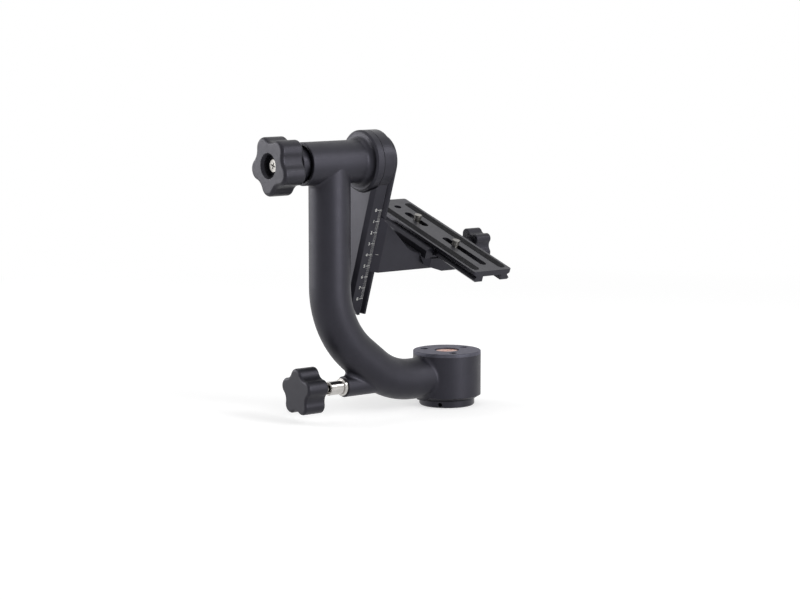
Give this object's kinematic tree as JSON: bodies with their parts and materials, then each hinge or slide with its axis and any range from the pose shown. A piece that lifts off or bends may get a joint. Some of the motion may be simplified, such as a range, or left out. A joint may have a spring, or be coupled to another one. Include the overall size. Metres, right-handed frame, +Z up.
{
  "type": "gimbal tripod head",
  "caption": "Gimbal tripod head: J-shaped arm on a pan bearing, tilting swing arm with a height scale, sliding platform, dovetail clamp and camera plate, star-knob locks.",
  "frame": {"origin": "where the pan axis leaves the bottom face of the base, at the mouth of the tripod thread", "axes": "+Z up along the pan axis; +X along the tilt axis from the J arm towards the camera plate; the lens looks along -Y, tilted down by 18.8 degrees at rest"},
  "size_m": [0.2454, 0.1449, 0.2361],
  "materials": {
    "coated_casting": "powder coated, fine matte black",
    "black_anodised": "matte black anodised",
    "dark_anodised": "satin black anodised, turned",
    "knob_rubber": "matte black rubberised",
    "bright_steel": "turned, bright",
    "insert_steel": "turned, plain",
    "bearing_steel": "ground",
    "black_screws": "black oxide",
    "camera_steel": "satin",
    "bronze": "dull, reddish",
    "lining": "dull lining",
    "grip_rubber": "ribbed"
  },
  "bodies": {
    "base": {"base_ring": "dark_anodised", "base_grub_screws": "black_screws", "thread_insert": "insert_steel", "pan_spindle": "insert_steel", "pan_nut": "bronze", "base_screws": "black_screws", "pan_lower_inner_race": "bearing_steel", "pan_lower_balls": "bearing_steel", "pan_upper_inner_race": "bearing_steel", "pan_upper_balls": "bearing_steel"},
    "arm": {"arm_casting": "coated_casting", "hub_cover": "dark_anodised", "hub_cover_screws": "black_screws", "pan_lower_outer_race": "bearing_steel", "pan_upper_outer_race": "bearing_steel", "tilt_outer_outer_race": "bearing_steel", "tilt_inner_outer_race": "bearing_steel", "tilt_friction_ring": "lining", "pan_lock_bushing": "bright_steel"},
    "pan_brake": {"pan_brake_pad": "bronze"},
    "pan_knob": {"pan_lock_rod": "bright_steel", "pan_lock_knob": "knob_rubber"},
    "swing": {"swing_arm": "black_anodised", "tilt_shaft": "insert_steel", "tilt_shaft_screws": "black_screws", "tilt_outer_inner_race": "bearing_steel", "tilt_outer_balls": "bearing_steel", "tilt_inner_inner_race": "bearing_steel", "tilt_inner_balls": "bearing_steel", "tilt_thrust_washer": "bright_steel", "platform_stop_screw": "black_screws"},
    "tilt_collar": {"tilt_lock_collar": "black_anodised"},
    "tilt_knob": {"tilt_lock_knob": "knob_rubber", "tilt_lock_stud": "bright_steel", "tilt_knob_screw": "bright_steel"},
    "platform": {"platform_bracket": "black_anodised", "clamp_base": "black_anodised", "clamp_bolts": "black_screws", "clamp_guide_pins": "bright_steel"},
    "gib": {"platform_gib": "black_anodised"},
    "platform_knob": {"platform_lock_screw": "bright_steel", "platform_lock_knob": "knob_rubber"},
    "jaw": {"clamp_jaw": "black_anodised"},
    "jaw_knob": {"clamp_screw": "bright_steel", "clamp_knob": "knob_rubber"},
    "plate": {"camera_plate": "black_anodised", "plate_grip_strips": "grip_rubber"},
    "front_washer": {"front_screw_washer": "camera_steel"},
    "front_screw": {"front_camera_screw": "camera_steel"},
    "back_washer": {"back_screw_washer": "camera_steel"},
    "back_screw": {"back_camera_screw": "camera_steel"}
  },
  "joints": [
    {"name": "pan", "type": "hinge", "parent": "base", "child": "arm", "pos_m": [0, 0, 0.02], "axis": [0, 0, 1], "continuous": true},
    {"name": "pan_brake_slide", "type": "slide", "parent": "arm", "child": "pan_brake", "axis": [-1, 0, 0], "range_m": [0, 0.0015]},
    {"name": "pan_lock", "type": "hinge", "parent": "pan_brake", "child": "pan_knob", "pos_m": [-0.11, 0, 0.0262], "axis": [-1, 0, 0], "range_deg": [0, 542.16]},
    {"name": "tilt", "type": "hinge", "parent": "arm", "child": "swing", "pos_m": [-0.1, 0, 0.211], "axis": [1, 0, 0], "continuous": true},
    {"name": "tilt_collar_slide", "type": "slide", "parent": "swing", "child": "tilt_collar", "axis": [-1, 0, 0], "range_m": [0, 0.0025]},
    {"name": "tilt_lock", "type": "hinge", "parent": "tilt_collar", "child": "tilt_knob", "pos_m": [-0.15, 0, 0.211], "axis": [-1, 0, 0], "range_deg": [0, 722.88]},
    {"name": "platform_slide", "type": "slide", "parent": "swing", "child": "platform", "axis": [0, -0.3223, 0.9466], "range_m": [-0.031, 0.0335]},
    {"name": "gib_slide", "type": "slide", "parent": "platform", "child": "gib", "axis": [0, 0.9466, 0.3223], "range_m": [0, 0.001]},
    {"name": "platform_lock", "type": "hinge", "parent": "gib", "child": "platform_knob", "pos_m": [-0.07275, 0.0568, 0.15586], "axis": [0, 0.9466, 0.3223], "range_deg": [0, 361.44]},
    {"name": "jaw_slide", "type": "slide", "parent": "platform", "child": "jaw", "axis": [1, 0, 0], "range_m": [0, 0.003]},
    {"name": "clamp_lock", "type": "hinge", "parent": "jaw", "child": "jaw_knob", "pos_m": [0.03, 0.02752, 0.13016], "axis": [1, 0, 0], "range_deg": [0, 1084.32]},
    {"name": "plate_slide", "type": "slide", "parent": "platform", "child": "plate", "axis": [0, 0.9466, 0.3223], "range_m": [-0.03, 0.03]},
    {"name": "front_screw_slide", "type": "slide", "parent": "plate", "child": "front_washer", "axis": [0, 0.9466, 0.3223], "range_m": [-0.037, 0.0125]},
    {"name": "front_screw_turn", "type": "hinge", "parent": "front_washer", "child": "front_screw", "pos_m": [0, -0.00963, 0.13378], "axis": [0, -0.3223, 0.9466], "continuous": true},
    {"name": "back_screw_slide", "type": "slide", "parent": "plate", "child": "back_washer", "axis": [0, 0.9466, 0.3223], "range_m": [-0.0105, 0.0125]},
    {"name": "back_screw_turn", "type": "hinge", "parent": "back_washer", "child": "back_screw", "pos_m": [0, 0.04149, 0.15118], "axis": [0, -0.3223, 0.9466], "continuous": true}
  ],
  "couplings": [
    {"joint": "pan_lock", "follows": "pan_brake_slide", "rad_per_m": 6283.2},
    {"joint": "tilt_lock", "follows": "tilt_collar_slide", "rad_per_m": 5026.5},
    {"joint": "platform_lock", "follows": "gib_slide", "rad_per_m": 6283.2},
    {"joint": "clamp_lock", "follows": "jaw_slide", "rad_per_m": 6283.2}
  ]
}
